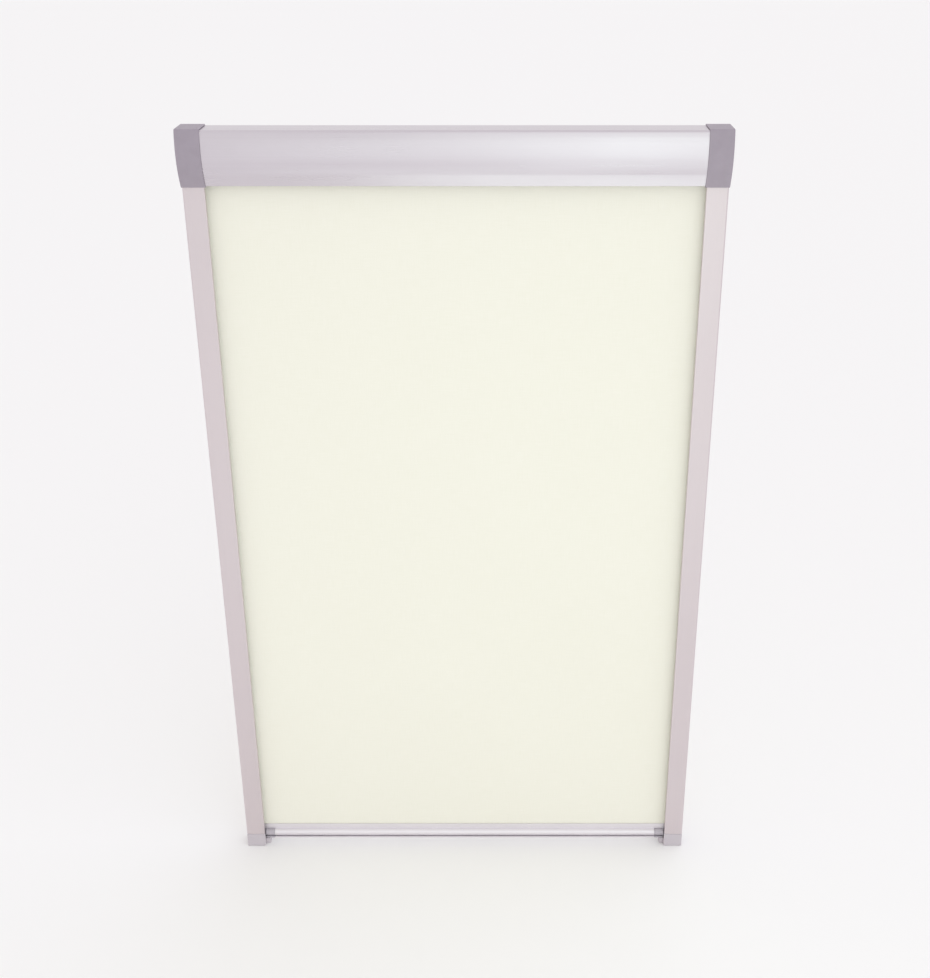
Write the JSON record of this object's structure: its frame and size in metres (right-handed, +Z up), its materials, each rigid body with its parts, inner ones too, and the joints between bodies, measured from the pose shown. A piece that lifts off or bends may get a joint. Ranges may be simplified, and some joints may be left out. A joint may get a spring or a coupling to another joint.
{
  "type": "skylight window blind",
  "caption": "Cordless roller blind for a roof window: bowed aluminium headbox, slim side rails, spring-wound cloth and a bottom bar that brake gliders hold where it is put.",
  "frame": {"origin": "centre of the headbox's flat back face, which lies against the window sash", "axes": "+X across the blind to the right as seen from the room, +Y out of the back towards the glass, +Z up along the side rails to the headbox"},
  "size_m": [0.611, 0.0386, 0.99],
  "materials": {
    "headbox_aluminium": "fine satin anodised, a warm silver with a lilac cast",
    "rail_aluminium": "fine satin anodised, a warm silver with a lilac cast",
    "bar_aluminium": "fine satin anodised, a warm silver with a lilac cast",
    "cap_plastic": "moulded mid grey, satin",
    "foot_plastic": "moulded light grey, satin",
    "bar_end_plastic": "moulded grey, satin",
    "steel": "plain bright steel",
    "tube_aluminium": "mill finish",
    "nylon": "natural moulded nylon",
    "pile": "short dense grey brush pile",
    "brake_pad": "dark felt-like friction pad",
    "cloth": "smooth opaque coated cloth, cream"
  },
  "bodies": {
    "frame": {"headbox_back_profile": "headbox_aluminium", "headbox_cover": "headbox_aluminium", "end_cap_left": "cap_plastic", "end_cap_right": "cap_plastic", "cap_screw_left_upper": "steel", "cap_screw_left_lower": "steel", "cap_screw_right_upper": "steel", "cap_screw_right_lower": "steel", "spring_shaft": "steel", "spring_anchor": "nylon", "main_spring": "steel", "idle_pin": "steel", "side_rail_left": "rail_aluminium", "side_rail_right": "rail_aluminium", "pile_seal_left_front": "pile", "pile_seal_left_back": "pile", "pile_seal_right_front": "pile", "pile_seal_right_back": "pile", "foot_cap_left": "foot_plastic", "foot_cap_right": "foot_plastic", "cloth_sheet": "cloth"},
    "roller": {"roller_tube": "tube_aluminium", "roller_spline": "nylon", "cloth_wraps": "cloth", "spring_end_plug": "nylon", "spring_driver": "nylon", "idle_end_plug": "nylon"},
    "bottom_bar": {"bar_profile": "bar_aluminium", "bar_end_left": "bar_end_plastic", "bar_end_right": "bar_end_plastic", "brake_shoe_left": "brake_pad", "brake_shoe_right": "brake_pad", "brake_spring_left": "steel", "brake_spring_right": "steel", "hem_rod": "nylon"}
  },
  "joints": [
    {"name": "bar_slide", "type": "slide", "parent": "frame", "child": "bottom_bar", "axis": [0, 0, 1], "range_m": [0, 0.893], "deforming": ["cloth_sheet"]},
    {"name": "roller_spin", "type": "hinge", "parent": "frame", "child": "roller", "pos_m": [0, -0.02148, 0.004], "axis": [1, 0, 0], "range_deg": [0, 4393]}
  ],
  "couplings": [
    {"joint": "roller_spin", "follows": "bar_slide", "rad_per_m": 85.85}
  ]
}
